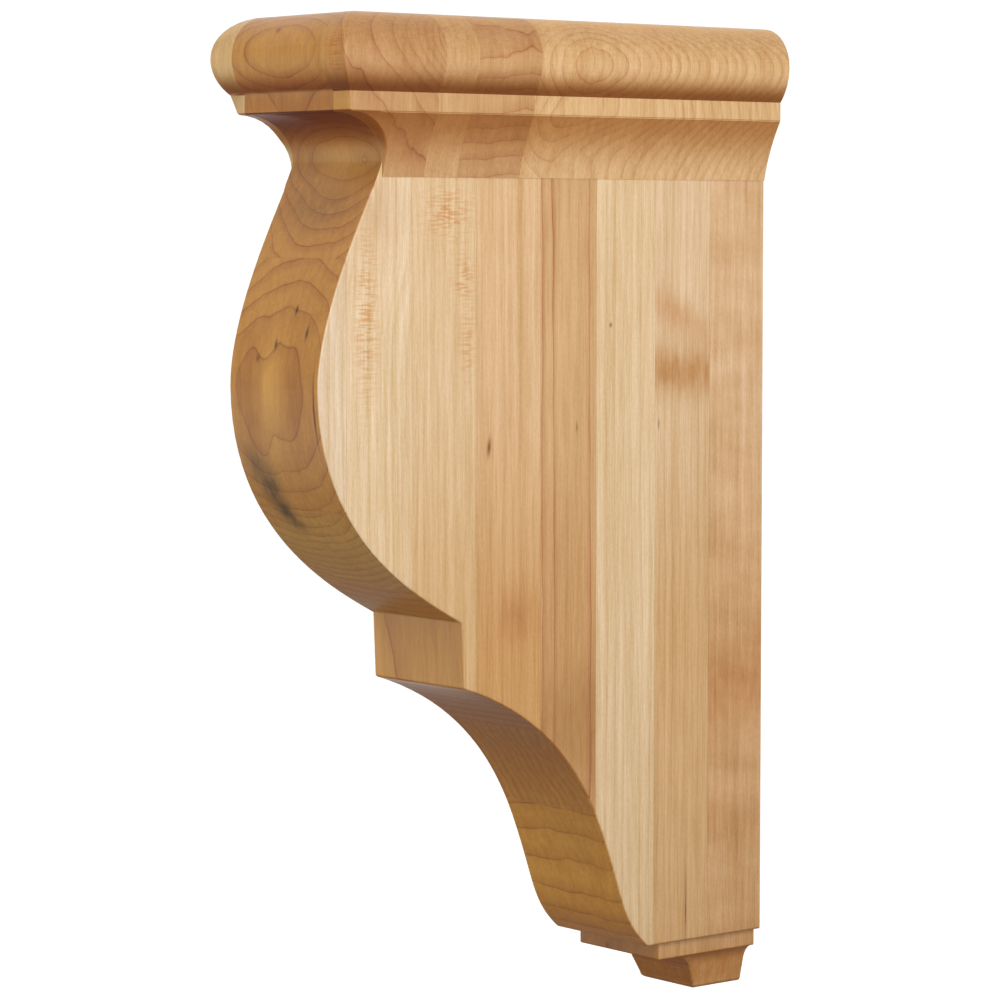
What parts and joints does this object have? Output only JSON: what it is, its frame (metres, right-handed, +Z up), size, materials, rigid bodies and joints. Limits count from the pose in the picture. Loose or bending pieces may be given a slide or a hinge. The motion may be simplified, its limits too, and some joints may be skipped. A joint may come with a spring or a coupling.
{
  "type": "carved bar bracket",
  "caption": "Carved maple corbel for a bar top: flat back, moulded cap on front and sides, bellied front with a step, concave sweep, small square foot.",
  "frame": {"origin": "middle of the flat back, on the wall plane", "axes": "+Z up, +Y into the wall, the carved front faces -Y, +X to the right seen from the front"},
  "size_m": [0.0788, 0.2036, 0.3554],
  "materials": {
    "maple_stave_1": "sanded smooth, clear satin lacquer",
    "maple_stave_2": "sanded smooth, clear satin lacquer",
    "maple_stave_3": "sanded smooth, clear satin lacquer",
    "maple_stave_4": "sanded smooth, clear satin lacquer",
    "maple_stave_5": "sanded smooth, clear satin lacquer",
    "maple_stave_6": "sanded smooth, clear satin lacquer",
    "maple_stave_7": "sanded smooth, clear satin lacquer",
    "maple_stave_8": "sanded smooth, clear satin lacquer",
    "maple_strips": "sanded smooth, clear satin lacquer"
  },
  "bodies": {
    "root": {"stave_1": "maple_stave_1", "stave_2": "maple_stave_2", "stave_3": "maple_stave_3", "stave_4": "maple_stave_4", "stave_5": "maple_stave_5", "stave_6": "maple_stave_6", "stave_7": "maple_stave_7", "stave_8_belly": "maple_stave_8", "stave_8_cap": "maple_stave_8", "cap_strip_left": "maple_strips", "cap_strip_right": "maple_strips"}
  },
  "joints": []
}
